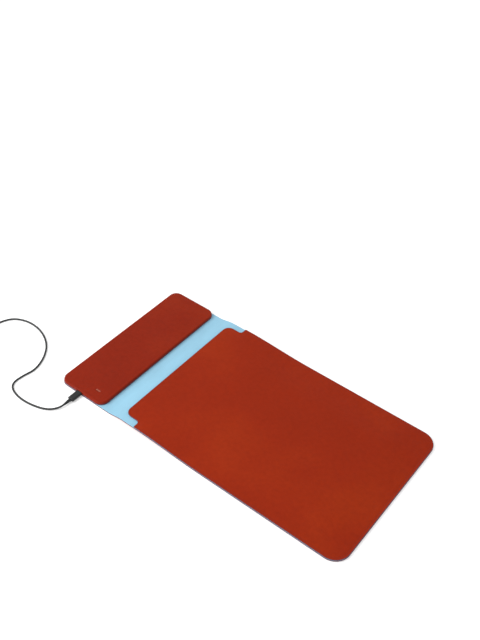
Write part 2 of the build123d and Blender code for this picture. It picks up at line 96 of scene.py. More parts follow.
class Finish:
    """A material's node tree, with short ways to add the textures that it is made of."""

    def __init__(self, name, **uniform):
        """New material. Keywords are the shader's uniform values, with _ for a space."""
        self.material = bpy.data.materials.new(name)
        self.material.use_nodes = True
        self.tree = self.material.node_tree
        self.shader = self.tree.nodes["Principled BSDF"]
        self.place = self.tree.nodes.new("ShaderNodeTexCoord").outputs["Object"]
        for socket, value in uniform.items():
            self.shader.inputs[socket.replace("_", " ")].default_value = value

    def node(self, kind, settings=(), **inputs):
        """New node. Inputs are numbers, colours or another node's output."""
        made = self.tree.nodes.new(kind)
        for key, value in dict(settings).items():
            setattr(made, key, value)
        for key, value in inputs.items():
            socket = made.inputs[int(key[1:])] if key[1:].isdigit() else made.inputs[key.replace("_", " ")]
            if isinstance(value, bpy.types.NodeSocket):
                self.tree.links.new(value, socket)
            else:
                socket.default_value = value
        return made

    def stretched(self, factors):
        """Object coordinates scaled along each axis."""
        return self.node("ShaderNodeMapping", Vector=self.place, Scale=factors).outputs[0]

    def noise(self, scale, detail=3.0, rough=0.55, vector=None):
        """Noise, mostly between 0.3 and 0.7."""
        made = self.node(
            "ShaderNodeTexNoise",
            Vector=vector or self.place,
            Scale=scale,
            Detail=detail,
            Roughness=rough,
        )
        return made.outputs["Fac"]

    def cells(self, scale, feature="DISTANCE_TO_EDGE"):
        """Distance to the nearest edge or seed of a pattern of cells."""
        settings = {"feature": feature}
        made = self.node("ShaderNodeTexVoronoi", settings, Vector=self.place, Scale=scale)
        return made.outputs["Distance"]

    def math(self, operation, first, second=0.0):
        """Sum, product or other result of two values."""
        return self.node("ShaderNodeMath", {"operation": operation}, _0=first, _1=second).outputs[0]

    def spread(self, value, low, high, from_low=0.3, from_high=0.7):
        """Value moved from one range to another and held inside it."""
        made = self.node(
            "ShaderNodeMapRange",
            Value=value,
            From_Min=from_low,
            From_Max=from_high,
            To_Min=low,
            To_Max=high,
        )
        return made.outputs[0]

    def ramp(self, value, *stops):
        """Colour along stops of (position, colour)."""
        made = self.node("ShaderNodeValToRGB", Fac=value)
        while len(made.color_ramp.elements) < len(stops):
            made.color_ramp.elements.new(0.5)
        for element, (position, colour) in zip(made.color_ramp.elements, stops):
            element.position = position
            element.color = colour
        return made.outputs["Color"]

    def mix(self, share, first, second, blend="MIX"):
        """Two colours mixed."""
        settings = {"data_type": "RGBA", "blend_type": blend}
        made = self.node("ShaderNodeMix", settings, _0=share, _6=first, _7=second)
        return made.outputs[2]

    def colour(self, output):
        """Colour the surface by an output."""
        self.tree.links.new(output, self.shader.inputs["Base Color"])

    def roughness(self, output):
        """Make the surface as rough as an output says."""
        self.tree.links.new(output, self.shader.inputs["Roughness"])

    def bumps(self, *layers):
        """Bump layers of (height output, depth in metres), laid on each other."""
        normal = None
        for height, depth in layers:
            inputs = {"Height": height, "Distance": depth, "Strength": 1.0}
            if normal is not None:
                inputs["Normal"] = normal
            normal = self.node("ShaderNodeBump", **inputs).outputs[0]
        self.tree.links.new(normal, self.shader.inputs["Normal"])


def scaled(colour, factor):
    """Colour with its brightness multiplied."""
    return (*[channel * factor for channel in colour[:3]], 1.0)


def leather(name, base, wear):
    """Smooth waxed hide: slow mottling, fine pores, and a soft uneven shine."""
    finish = Finish(name, Specular_IOR_Level=0.10)
    cloudy = finish.noise(7.0, 4.0, 0.5)
    fine = finish.noise(170.0, 4.0, 0.6)
    tone = finish.ramp(
        cloudy,
        (0.30, scaled(base, 0.93)),
        (0.50, base),
        (0.70, wear),
    )
    speck = finish.ramp(fine, (0.30, (0.86, 0.84, 0.82, 1)), (0.62, (1, 1, 1, 1)))
    grain = finish.cells(1500.0)
    pores = finish.ramp(grain, (0.0, (0.80, 0.78, 0.76, 1)), (0.09, (1, 1, 1, 1)))
    finish.colour(finish.mix(0.6, finish.mix(0.8, tone, speck, "MULTIPLY"), pores, "MULTIPLY"))
    finish.roughness(finish.spread(finish.noise(46.0, 5.0, 0.65), 0.40, 0.56))
    finish.bumps(
        (finish.noise(60.0, 3.0), 0.00016),
        (finish.spread(grain, 0.0, 1.0, 0.0, 0.16), 0.00004),
        (finish.noise(4200.0, 2.0), 0.00002),
    )
    return finish.material


def edge_paint():
    """Burnished dark edge of the hide."""
    finish = Finish("leather_edge", Specular_IOR_Level=0.4)
    tone = finish.ramp(
        finish.noise(500.0, 3.0),
        (0.3, linear(78, 42, 58)),
        (0.7, linear(112, 62, 78)),
    )
    finish.colour(tone)
    finish.roughness(finish.spread(finish.noise(900.0), 0.38, 0.62))
    finish.bumps((finish.noise(1300.0, 3.0, vector=finish.stretched((1, 1, 3))), 0.00005))
    return finish.material


def microfibre():
    """Pale blue brushed lining with a short nap."""
    finish = Finish("lining_nap", Sheen_Weight=0.18, Sheen_Roughness=0.45, Specular_IOR_Level=0.2)
    base = linear(148, 196, 219)
    brushed = finish.noise(34.0, 4.0, 0.6, finish.stretched((1, 0.45, 1)))
    tone = finish.ramp(brushed, (0.30, scaled(base, 0.92)), (0.5, base), (0.70, scaled(base, 1.06)))
    nap = finish.noise(2400.0, 3.0, 0.7)
    speck = finish.ramp(nap, (0.30, (0.86, 0.88, 0.90, 1)), (0.60, (1, 1, 1, 1)))
    finish.colour(finish.mix(0.8, tone, speck, "MULTIPLY"))
    finish.roughness(finish.spread(brushed, 0.82, 0.95))
    finish.bumps(
        (finish.noise(90.0, 2.0), 0.00012),
        (nap, 0.00006),
        (finish.cells(2600.0, "F1"), 0.00003),
    )
    return finish.material


def moulded(name, base, low=0.40, high=0.55, grain=1800.0):
    """Spark-eroded moulded plastic or rubber."""
    finish = Finish(name, Specular_IOR_Level=0.42)
    clouds = finish.noise(140.0, 3.0)
    finish.colour(finish.ramp(clouds, (0.3, scaled(base, 0.82)), (0.7, scaled(base, 1.18))))
    texture = finish.noise(grain, 3.0, 0.7)
    finish.roughness(finish.spread(texture, low, high))
    finish.bumps((texture, 0.00004), (finish.noise(220.0), 0.00003))
    return finish.material


def metal(name, base, along=(30, 1, 30), low=0.22, high=0.38, scale=220.0):
    """Brushed or rolled metal, with scratches along one axis."""
    finish = Finish(name, Metallic=1.0)
    brushed = finish.noise(scale, 4.0, 0.7, finish.stretched(along))
    finish.colour(finish.ramp(brushed, (0.3, scaled(base, 0.84)), (0.7, base)))
    finish.roughness(finish.spread(brushed, low, high))
    finish.bumps((brushed, 0.00001))
    return finish.material


def wound_wire(name, centre, pitch):
    """Enamelled copper wire wound in rings about a centre, with painted shade darkening the grooves between
    turns.
    """
    finish = Finish(name, Metallic=1.0, Coat_Weight=0.6, Coat_Roughness=0.15)
    gap = finish.node(
        "ShaderNodeVectorMath",
        {"operation": "DISTANCE"},
        _0=finish.node("ShaderNodeMapping", Vector=finish.place, Scale=(1, 1, 0)).outputs[0],
        _1=(centre[0], centre[1], 0.0),
    ).outputs["Value"]
    turn = finish.math("FRACT", finish.math("DIVIDE", gap, pitch))
    ridge = finish.math("PINGPONG", turn, 0.5)
    # Painted shade: the wire's colour darkens towards the gaps between neighbouring turns, darkest where
    # they meet.
    tone = finish.ramp(
        ridge,
        (0.0, linear(92, 40, 18)),
        (0.18, linear(186, 100, 52)),
        (0.5, linear(222, 138, 84)),
    )
    patch = finish.ramp(finish.noise(180.0), (0.3, (0.86, 0.86, 0.86, 1)), (0.7, (1, 1, 1, 1)))
    finish.colour(finish.mix(1.0, tone, patch, "MULTIPLY"))
    finish.roughness(finish.spread(finish.noise(300.0), 0.24, 0.4))
    finish.bumps((ridge, 0.00025))
    return finish.material


def circuit_board():
    """Solder mask over fine traces and pads."""
    finish = Finish("circuit_board", Specular_IOR_Level=0.5, Coat_Weight=0.3, Coat_Roughness=0.2)
    settings = {"feature": "F1", "distance": "MANHATTAN"}
    blocks = finish.node("ShaderNodeTexVoronoi", settings, Vector=finish.place, Scale=420.0)
    lanes = finish.math("PINGPONG", finish.math("MULTIPLY", blocks.outputs["Distance"], 4.0), 0.5)
    mask = finish.ramp(lanes, (0.30, linear(16, 62, 44)), (0.36, linear(34, 98, 66)))
    pads = finish.ramp(finish.cells(560.0, "F1"), (0.06, (1, 1, 1, 1)), (0.085, (0, 0, 0, 1)))
    finish.colour(finish.mix(pads, mask, linear(206, 170, 96)))
    finish.roughness(finish.spread(finish.noise(260.0), 0.28, 0.42))
    finish.bumps((lanes, 0.00003), (finish.noise(900.0), 0.00001))
    return finish.material


def speckled(name, base, fleck, low, high, scale=1500.0, depth=0.00003):
    """Sintered, pressed or woven stuff with flecks of a second tone."""
    finish = Finish(name, Specular_IOR_Level=0.35)
    flecks = finish.cells(scale, "F1")
    finish.colour(finish.ramp(flecks, (0.12, fleck), (0.45, base), (0.9, scaled(base, 0.85))))
    finish.roughness(finish.spread(finish.noise(scale / 4), low, high))
    finish.bumps((flecks, depth), (finish.noise(scale * 2), depth / 2))
    return finish.material


def light_window():
    """Frosted diffuser over the status light."""
    finish = Finish("light_window", IOR=1.46, Transmission_Weight=0.35)
    frosted = finish.noise(700.0, 3.0)
    finish.colour(finish.ramp(frosted, (0.3, linear(176, 84, 62)), (0.7, linear(196, 104, 80))))
    finish.roughness(finish.spread(frosted, 0.45, 0.65))
    finish.bumps((finish.noise(2200.0), 0.00002))
    return finish.material


def hook_tape():
    """Woven fastening tape of the cord's tie."""
    finish = Finish("tie_weave", Sheen_Weight=0.4, Specular_IOR_Level=0.2)
    settings = {"wave_type": "BANDS", "bands_direction": "Y"}
    ribs = finish.node("ShaderNodeTexWave", settings, Vector=finish.place, Scale=380.0, Distortion=0.6)
    weave = finish.math("MULTIPLY", ribs.outputs["Fac"], finish.cells(1700.0, "F1"))
    finish.colour(finish.ramp(weave, (0.0, linear(20, 21, 24)), (0.6, linear(62, 64, 70))))
    finish.roughness(finish.spread(finish.noise(500.0), 0.8, 0.95))
    finish.bumps((weave, 0.00016))
    return finish.material


HIDE_COLOUR = linear(151, 38, 4)
HIDE_WEAR = linear(158, 44, 5)
PANEL_COLOUR = linear(138, 33, 7)
PANEL_WEAR = linear(147, 40, 9)

hide = leather("hide", HIDE_COLOUR, HIDE_WEAR)
panel_hide = leather("panel_hide", PANEL_COLOUR, PANEL_WEAR)
hide_edge = edge_paint()
lining = microfibre()
housing = moulded("housing_plastic", linear(40, 42, 46))
plug_plastic = moulded("plug_plastic", linear(26, 28, 28), 0.34, 0.5)
jacket = moulded("cord_jacket", linear(36, 38, 38), 0.42, 0.6, 2600.0)

NODE_FINISHES = {
    "charger_base_tray": housing,
    "charger_top_plate": housing,
    "tray_screws": metal("screw_steel", linear(176, 178, 182), (1, 1, 8)),
    "status_light_window": light_window(),
    "closure_magnets": metal("magnet_nickel", linear(188, 186, 180), (1, 1, 1), 0.18, 0.3),
    "closure_steel_discs": metal("disc_steel", linear(170, 172, 176), (1, 30, 1)),
    "port_board": circuit_board(),
    "usb_c_port_shell": metal("port_steel", linear(196, 198, 202), (1, 12, 30)),
    "usb_c_port_tongue": moulded("port_insulator", linear(24, 24, 26)),
    "controller_chip": moulded("chip_resin", linear(28, 28, 30), 0.5, 0.7),
    "resonant_capacitors": speckled("ceramic", linear(150, 118, 84), linear(176, 146, 112), 0.4, 0.6),
    "power_inductor": speckled("inductor_core", linear(62, 62, 64), linear(96, 96, 98), 0.5, 0.7),
    "status_led": moulded("led_resin", linear(236, 228, 190), 0.2, 0.3),
    "board_flex_cable": speckled("flex_film", linear(184, 112, 30), linear(150, 84, 20), 0.25, 0.4, 900.0),
    "coil_temperature_sensors": moulded("sensor_epoxy", linear(22, 40, 66), 0.2, 0.35),
    "pocket_back_reinforcement": speckled(
        "board_fibre",
        linear(150, 132, 108),
        linear(118, 100, 80),
        0.8,
        0.95,
    ),
    "near_plug_overmold": plug_plastic,
    "near_plug_shell": metal("plug_steel", linear(198, 200, 204), (30, 1, 1)),
    "near_plug_insert": moulded("plug_insulator", linear(20, 20, 22)),
    "cord_tie": hook_tape(),
}
SAME_FINISH = {
    "driver_board": "port_board",
    "coil_driver_chips": "controller_chip",
    "usb_power_chip": "controller_chip",
    "far_plug_overmold": "near_plug_overmold",
    "far_plug_shell": "near_plug_shell",
    "far_plug_insert": "near_plug_insert",
}


def paint(node, material):
    """Give a CAD node's object its material."""
    node_object = nodes[node]
    if not node_object.material_slots:
        node_object.data.materials.append(None)
    for slot in node_object.material_slots:
        slot.link = "OBJECT"
        slot.material = material


for node, material in NODE_FINISHES.items():
    paint(node, material)
for node, like in SAME_FINISH.items():
    paint(node, NODE_FINISHES[like])

ferrite = speckled("ferrite", linear(48, 48, 52), linear(84, 84, 90), 0.45, 0.6)
carrier = moulded("carrier_plastic", linear(58, 60, 64), 0.5, 0.65)
WIRE_PITCH = 1.0 * MM
for zone in ("phone", "earbuds"):
    low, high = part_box(f"{zone}_coil")
    wire = wound_wire(f"{zone}_wire", (low + high) / 2, WIRE_PITCH)
    paint(f"{zone}_coil", wire)
    paint(f"{zone}_coil_leads", wire)
    paint(f"{zone}_ferrite_plate", ferrite)
    paint(f"{zone}_coil_carrier", carrier)

# ------------------------------------------------------------------ cord

CORD_RADIUS = 1.45 * MM
COIL_CENTRE = Vector((-416.5, -168.0)) * MM
COIL_PITCH = 2 * CORD_RADIUS
COIL_OUTER = 20.9 * MM
COIL_STEPS = 16
COIL_LOW_TURNS = 3
COIL_TURNS = 5
COIL_LOW_Z = 2.05 * MM

# Routes of the free run and of the tail, in mm.
CORD_POINTS = [
    (-198.5, -154.1, 3.45),
    (-199.0, -161.0, 2.9),
    (-208.0, -172.5, 1.8),
    (-224.0, -180.0, 1.5),
    (-250.0, -184.5, 1.5),
    (-273.0, -181.0, 1.5),
    (-285.0, -171.0, 1.5),
    (-284.0, -152.0, 1.5),
    (-279.5, -133.0, 1.5),
    (-288.0, -108.0, 1.5),
    (-305.0, -86.0, 1.5),
    (-331.0, -72.5, 1.5),
    (-359.0, -69.5, 1.5),
    (-383.0, -78.0, 1.5),
    (-394.0, -95.0, 1.5),
    (-397.0, -119.0, 1.5),
    (-394.0, -143.0, 1.7),
]
TAIL_POINTS = [
    (-398.3, -186.2, 4.5),
    (-411.4, -197.0, 3.5),
    (-428.7, -199.0, 2.6),
    (-445.0, -192.0, 2.5),
    (-447.5, -179.0, 2.65),
]


def smooth(share):
    """Soft step from 0 to 1."""
    share = min(max(share, 0.0), 1.0)
    return share * share * (3 - 2 * share)


def rise(value, start, end):
    """Soft step as value goes from start to end."""
    return smooth((value - start) / (end - start))


def coil_point(turn):
    """Point of the coil after that many clockwise turns: inwards on the lower layer, back out on the upper.

    Each turn is round but for one stretch, where the cord steps over by its own diameter.
    """
    whole = int(turn)
    step = rise(turn - whole, 0.55, 0.85)
    if whole < COIL_LOW_TURNS - 1:
        radius = COIL_OUTER - COIL_PITCH * (whole + step)
        z = COIL_LOW_Z
    elif whole < COIL_LOW_TURNS:
        radius = COIL_OUTER - COIL_PITCH * whole - 0.35 * COIL_PITCH * math.sin(math.pi * step)
        z = COIL_LOW_Z + COIL_PITCH * step
    else:
        inner = COIL_OUTER - COIL_PITCH * (COIL_LOW_TURNS - 1)
        outwards = min(whole - COIL_LOW_TURNS + step, COIL_LOW_TURNS - 1)
        radius = inner + COIL_PITCH * outwards
        z = COIL_LOW_Z + COIL_PITCH
    angle = -2 * math.pi * turn
    radius /= math.cos(math.pi / COIL_STEPS) ** 0.7
    return (COIL_CENTRE.x + radius * math.cos(angle), COIL_CENTRE.y + radius * math.sin(angle), z)


def make_cord():
    """The USB cord: free run from the plug, the coil of its stored length, and the tail to the far plug."""
    points = [Vector(point) * MM for point in CORD_POINTS]
    points += [Vector(coil_point(step / COIL_STEPS)) for step in range(COIL_TURNS * COIL_STEPS + 1)]
    points += [Vector(point) * MM for point in TAIL_POINTS]
    data = bpy.data.curves.new("usb_cord", "CURVE")
    data.dimensions = "3D"
    data.resolution_u = 6
    data.bevel_depth = CORD_RADIUS
    data.bevel_resolution = 4
    data.use_fill_caps = True
    spline = data.splines.new("NURBS")
    spline.points.add(len(points) - 1)
    for control, point in zip(spline.points, points):
        control.co = (*point, 1.0)
    spline.order_u = 3
    spline.use_endpoint_u = True
    data.materials.append(jacket)
    cord = bpy.data.objects.new("usb_cord", data)
    bpy.context.scene.collection.objects.link(cord)
    return cord


# Distance behind the plug and radius, in mm.
RELIEF_PROFILE = [(0.0, 2.1), (0.15, 2.4), (0.5, 2.5), (1.3, 2.5), (1.6, 2.4)]
RELIEF_END_RADIUS = 1.65
RELIEF_RIBS = 7
RIB_PITCH = 1.4
RIB_GROOVE = 0.22


def relief_profile(length, end_radius):
    """Collar, then ribs that get slimmer towards the cord, as (distance, radius)."""
    profile = list(RELIEF_PROFILE)
    start, wide = profile[-1]
    for rib in range(RELIEF_RIBS):
        at = start + rib * RIB_PITCH
        radius = wide + (end_radius - wide) * (at - start) / (length - start)
        profile += [
            (at + 0.1, radius),
            (at + 0.8, radius),
            (at + 0.95, radius - RIB_GROOVE),
            (at + 1.3, radius - RIB_GROOVE),
        ]
    profile += [(length - 0.3, end_radius), (length, end_radius - 0.15)]
    return profile


def lathe(name, base, profile, material, sides=28):
    """Closed turned piece. Its axis runs from base towards -Y."""
    shape = bmesh.new()
    loops = []
    for distance, radius in profile:
        loop = []
        for side in range(sides):
            angle = 2 * math.pi * side / sides
            offset = Vector((radius * math.cos(angle), -distance, radius * math.sin(angle))) * MM
            loop.append(shape.verts.new(base + offset))
        loops.append(loop)
    for one, two in zip(loops, loops[1:]):
        for i in range(sides):
            j = (i + 1) % sides
            shape.faces.new((one[i], one[j], two[j], two[i]))
    shape.faces.new(reversed(loops[0]))
    shape.faces.new(loops[-1])
    return finish_mesh(name, shape, [material])


SHARP_ANGLE = math.radians(50)


def finish_mesh(name, shape, materials):
    """Object from a bmesh, shaded smooth but for its sharp edges."""
    bmesh.ops.recalc_face_normals(shape, faces=shape.faces)
    for face in shape.faces:
        face.smooth = True
    for edge in shape.edges:
        if len(edge.link_faces) == 2 and edge.calc_face_angle() > SHARP_ANGLE:
            edge.smooth = False
    data = bpy.data.meshes.new(name)
    shape.to_mesh(data)
    shape.free()
    for material in materials:
        data.materials.append(material)
    made = bpy.data.objects.new(name, data)
    bpy.context.scene.collection.objects.link(made)
    return made


def make_relief(end):
    """Ribbed strain relief behind one plug, in the place of its plain CAD cone."""
    low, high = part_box(f"{end}_strain_relief")
    base = Vector(((low.x + high.x) / 2, high.y, (low.z + high.z) / 2))
    length = (high.y - low.y) / MM
    relief = lathe(f"{end}_ribbed_relief", base, relief_profile(length, RELIEF_END_RADIUS), plug_plastic)
    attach(relief, "cable")
    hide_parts(f"{end}_strain_relief")
    return relief


usb_cord = make_cord()
reliefs = [make_relief(end) for end in ("near", "far")]
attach(usb_cord, "cable")
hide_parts("cord_tube", "cord_coil", "cord_tail")

# ------------------------------------------------------------------ sleeve: outlines and heights

back_low, back_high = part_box("pocket_back_leather")
flap_low, flap_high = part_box("flap_back_leather")
front_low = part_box("pocket_front_leather")[0]
panel_low, panel_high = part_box("charging_panel_leather")
lining_low, lining_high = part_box("pocket_back_lining")
board_low, board_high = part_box("pocket_back_reinforcement")

HALF_WIDTH = back_high.y
X_CLOSED_END = back_high.x
X_FLAP_END = flap_low.x
X_FOLD = (back_low.x + flap_high.x) / 2
X_MOUTH = front_low.x
TONGUE_DEPTH = 26 * MM
X_SEAM_END = X_MOUTH + TONGUE_DEPTH
HIDE = back_high.z
LINING = lining_high.z - lining_low.z
LINING_INSET = HALF_WIDTH - lining_high.y
BOARD = board_high.z - board_low.z
BOARD_TAPER = 4 * MM
NOTCH_WIDTH = 11.3 * MM
TONGUE_HALF = HALF_WIDTH - NOTCH_WIDTH
FLAP_CORNER = 13 * MM
END_CORNER = 23 * MM
TONGUE_CORNER = 11 * MM
NOTCH_INNER_CORNER = 4.2 * MM
NOTCH_OUTER_CORNER = 1.5 * MM

MOUTH_LIFT = 4.1 * MM
LIFT_START = X_FOLD - 7 * MM
LIFT_FULL = X_MOUTH + 3 * MM
LIFT_FALL = X_MOUTH + 34 * MM
LIFT_END = X_MOUTH + 140 * MM
MIDDLE_SAG = 0.55
SAG_EDGE = 0.35
CROWN = 3.0 * MM
FLAT_AT_LIFT = 0.96
CROWN_START = 5 * MM
CROWN_FULL = 62 * MM


def lift(x):
    """Height of the sleeve's side seams above the table: they stand proud at the pocket's mouth."""
    return MOUTH_LIFT * rise(x, LIFT_START, LIFT_FULL) * (1 - rise(x, LIFT_FALL, LIFT_END))


def back_under(x, y):
    """Underside of the outer hide. Between the seams it hangs lower than they do."""
    side = rise(abs(y), SAG_EDGE * HALF_WIDTH, HALF_WIDTH)
    return lift(x) * (1 - MIDDLE_SAG * (1 - side))


def crown(x, y):
    """Gentle rise of the pocket's front from its seams towards the middle."""
    across = rise(HALF_WIDTH - abs(y), CROWN_START, CROWN_FULL)
    along = rise(X_CLOSED_END - x, CROWN_START, CROWN_FULL)
    room = 1 - FLAT_AT_LIFT * lift(x) / MOUTH_LIFT
    return CROWN * across * along * room


def front_under(x, y):
    """Underside of the pocket's front lining."""
    return HIDE + LINING + lift(x) + crown(x, y)


def over(surface, *layers):
    """Surface raised by the thickness of the layers on it."""
    thickness = sum(layers)
    return lambda x, y: surface(x, y) + thickness


BACK_CORNERS = [
    (X_FLAP_END, -HALF_WIDTH, FLAP_CORNER),
    (X_CLOSED_END, -HALF_WIDTH, END_CORNER),
    (X_CLOSED_END, HALF_WIDTH, END_CORNER),
    (X_FLAP_END, HALF_WIDTH, FLAP_CORNER),
]
FRONT_CORNERS = [
    (X_MOUTH, -TONGUE_HALF, TONGUE_CORNER),
    (X_SEAM_END, -TONGUE_HALF, NOTCH_INNER_CORNER),
    (X_SEAM_END, -HALF_WIDTH, NOTCH_OUTER_CORNER),
    (X_CLOSED_END, -HALF_WIDTH, END_CORNER),
    (X_CLOSED_END, HALF_WIDTH, END_CORNER),
    (X_SEAM_END, HALF_WIDTH, NOTCH_OUTER_CORNER),
    (X_SEAM_END, TONGUE_HALF, NOTCH_INNER_CORNER),
    (X_MOUTH, TONGUE_HALF, TONGUE_CORNER),
]
PANEL_CORNERS = [
    (panel_low.x, panel_low.y, FLAP_CORNER),
    (panel_high.x, panel_low.y, FLAP_CORNER),
    (panel_high.x, panel_high.y, FLAP_CORNER),
    (panel_low.x, panel_high.y, FLAP_CORNER),
]

# ------------------------------------------------------------------ sleeve: sheet meshes

ARC_STEP = 1.6 * MM
SIDE_STEP = 4 * MM
GRID_STEP = 5 * MM
FOLD_STEP = 1 * MM
FOLD_REACH = 8
LEAST_CORNER = 0.5 * MM
LEAST_BEND = 0.15 * MM
WELD = 1e-7


def side_shares(start, end):
    """Shares along a straight side at which it gets points: every few mm, and closer at the fold."""
    count = max(1, math.ceil((end - start).length / SIDE_STEP))
    shares = [step / count for step in range(1, count)]
    run = end.x - start.x
    fold_share = (X_FOLD - start.x) / run if abs(run) > 0.1 else -1
    if 0 < fold_share < 1:
        close = abs((FOLD_REACH + 1) * FOLD_STEP / run)
        shares = [share for share in shares if abs(share - fold_share) > close]
        shares += [fold_share + step * FOLD_STEP / run for step in range(-FOLD_REACH, FOLD_REACH + 1)]
    return sorted(shares)


def moved_corner(corners, index, inset):
    """One corner of the outline moved inwards by inset, its two directions, and its side: 1 turns left."""
    here = Vector(corners[index][:2])
    arrive = (here - Vector(corners[index - 1][:2])).normalized()
    leave = (Vector(corners[(index + 1) % len(corners)][:2]) - here).normalized()
    inward = [Vector((-run.y, run.x)) for run in (arrive, leave)]
    corner = here + inset * (inward[0] + inward[1]) / (1 + inward[0].dot(inward[1]))
    side = 1 if arrive.cross(leave) > 0 else -1
    return corner, arrive, leave, side


def inset_corners(corners, inset):
    """Corners moved inwards by inset, with their radii to suit."""
    moved = []
    for index, (_, _, radius) in enumerate(corners):
        corner, _, _, side = moved_corner(corners, index, inset)
        moved.append((corner.x, corner.y, max(radius - side * inset, LEAST_CORNER)))
    return moved


def corner_arcs(corners, inset):
    """Arc of each corner of the outline moved inwards by inset, as a list of points."""
    arcs = []
    for index, (_, _, radius) in enumerate(corners):
        corner, arrive, leave, side = moved_corner(corners, index, inset)
        inward = Vector((-arrive.y, arrive.x))
        turn = arrive.angle(leave)
        count = max(3, math.ceil(radius * turn / ARC_STEP))
        bend = max(radius - side * inset, LEAST_BEND)
        centre = corner - arrive * bend * math.tan(turn / 2) + inward * bend * side
        spoke = -inward * bend * side
        arc = []
        for step in range(count + 1):
            angle = side * turn * step / count
            cosine = math.cos(angle)
            sine = math.sin(angle)
            turned = Vector((spoke.x * cosine - spoke.y * sine, spoke.x * sine + spoke.y * cosine))
            arc.append(centre + turned)
        arcs.append(arc)
    return arcs


def ring(corners, inset):
    """Closed outline moved inwards by inset. Every inset gives the same number of points."""
    base = corner_arcs(corners, 0.0)
    moved = corner_arcs(corners, inset)
    points = []
    for index, arc in enumerate(moved):
        after = (index + 1) % len(moved)
        points += arc
        start, end = arc[-1], moved[after][0]
        points += [start.lerp(end, share) for share in side_shares(base[index][-1], base[after][0])]
    return points


def grid_inside(outline):
    """Points of a grid that lie well inside an outline."""
    low = min(point.x for point in outline)
    high = max(point.x for point in outline)
    columns = [low + step * GRID_STEP for step in range(1, math.ceil((high - low) / GRID_STEP))]
    if low < X_FOLD < high:
        columns = [x for x in columns if abs(x - X_FOLD) > (FOLD_REACH + 1) * FOLD_STEP]
        columns += [X_FOLD + step * FOLD_STEP for step in range(-FOLD_REACH, FOLD_REACH + 1)]
    points = []
    for x in sorted(columns):
        if high - x < 0.4 * GRID_STEP:
            continue
        crossings = []
        for one, two in zip(outline, outline[1:] + outline[:1]):
            if (one.x - x) * (two.x - x) < 0:
                crossings.append(one.y + (two.y - one.y) * (x - one.x) / (two.x - one.x))
        if not crossings:
            continue
        first = math.ceil((min(crossings) + 0.5 * GRID_STEP) / GRID_STEP)
        last = math.floor((max(crossings) - 0.5 * GRID_STEP) / GRID_STEP)
        points += [Vector((x, row * GRID_STEP)) for row in range(first, last + 1)]
    return points


def fill(shape, loop, outline, height, facing_up, material_index):
    """Cover a loop of vertices with triangles on an inner grid."""
    inner = grid_inside(outline)
    count = len(outline)
    edges = [(i, (i + 1) % count) for i in range(count)]
    points, _, triangles, origins, _, _ = delaunay_2d_cdt(outline + inner, edges, [], 1, WELD)
    made = []
    for point, origin in zip(points, origins):
        known = [index for index in origin if index < count]
        if known:
            made.append(loop[known[0]])
        else:
            made.append(shape.verts.new((point.x, point.y, height(point.x, point.y))))
    for triangle in triangles:
        corners = [made[index] for index in triangle]
        if len(set(corners)) == 3:
            face = shape.faces.new(corners if facing_up else corners[::-1])
            face.material_index = material_index


def sheet_shape(corners, rings, under, top, shape=None):
    """Closed sheet as a bmesh, new or added to one.

    rings go from the underside's rim round the edge to the top's rim, each (inset, share, sink, material):
    share is the height between the under and top surfaces, and sink lowers the ring. The material is that
    of the strip from the ring before.
    """
    shape = shape or bmesh.new()

    def height_at(share, sink):
        """Height function of one ring's surface."""
        return lambda x, y: under(x, y) + share * (top(x, y) - under(x, y)) - sink

    loops = []
    outlines = []
    for inset, share, sink, _ in rings:
        outline = ring(corners, inset)
        height = height_at(share, sink)
        outlines.append(outline)
        loops.append([shape.verts.new((point.x, point.y, height(point.x, point.y))) for point in outline])
    for index in range(1, len(rings)):
        one, two = loops[index - 1], loops[index]
        for i in range(len(one)):
            j = (i + 1) % len(one)
            face = shape.faces.new((one[i], one[j], two[j], two[i]))
            face.material_index = rings[index][3]
    fill(shape, loops[0], outlines[0], height_at(rings[0][1], rings[0][2]), False, 0)
    fill(shape, loops[-1], outlines[-1], height_at(rings[-1][1], rings[-1][2]), True, 0)
    return shape


def rolled_edge(thickness, edge_material):
    """Rings of a sheet's rounded cut edge, for sheet_shape."""
    bend = thickness / 2
    return [
        (bend, 0.0, 0.0, 0),
        (0.3 * bend, 0.12, 0.0, 0),
        (0.0, 0.4, 0.0, edge_material),
        (0.0, 0.66, 0.0, edge_material),
        (0.3 * bend, 0.9, 0.0, edge_material),
        (bend, 1.0, 0.0, edge_material),
        (1.3 * bend, 1.0, 0.0, edge_material),
    ]


def board_share(x, y):
    """How far the hide is thinned for the board let into it, from 0 to 1, tapering at the board's edge."""
    in_x = min(x - board_low.x, board_high.x - x)
    in_y = min(y - board_low.y, board_high.y - y)
    return rise(min(in_x, in_y), 0.0, BOARD_TAPER)


def hide_top(x, y):
    """Flesh side of the outer hide."""
    return back_under(x, y) + HIDE - BOARD * board_share(x, y)


def make_outer_leather():
    """One hide from the flap's end, across the fold, to the pocket's closed end."""
    shape = sheet_shape(BACK_CORNERS, rolled_edge(HIDE, 1), back_under, hide_top)
    sheet = finish_mesh("sleeve_outer_leather", shape, [hide, hide_edge])
    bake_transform(sheet)
    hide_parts("flap_back_leather", "pocket_back_leather")
    return sheet


def make_board():
    """Stiffening board between the back hide and its lining."""
    corners = [
        (board_low.x, board_low.y, END_CORNER),
        (board_high.x, board_low.y, END_CORNER),
        (board_high.x, board_high.y, END_CORNER),
        (board_low.x, board_high.y, END_CORNER),
    ]
    rings = [(BOARD_TAPER, 0.0, 0.0, 0), (0.0, 0.6, 0.0, 0), (0.2 * MM, 1.0, 0.0, 0)]
    fibre = NODE_FINISHES["pocket_back_reinforcement"]
    shape = sheet_shape(corners, rings, hide_top, over(back_under, HIDE))
    board = finish_mesh("back_stiffening_board", shape, [fibre])
    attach(board, "pocket")
    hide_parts("pocket_back_reinforcement")
    return board


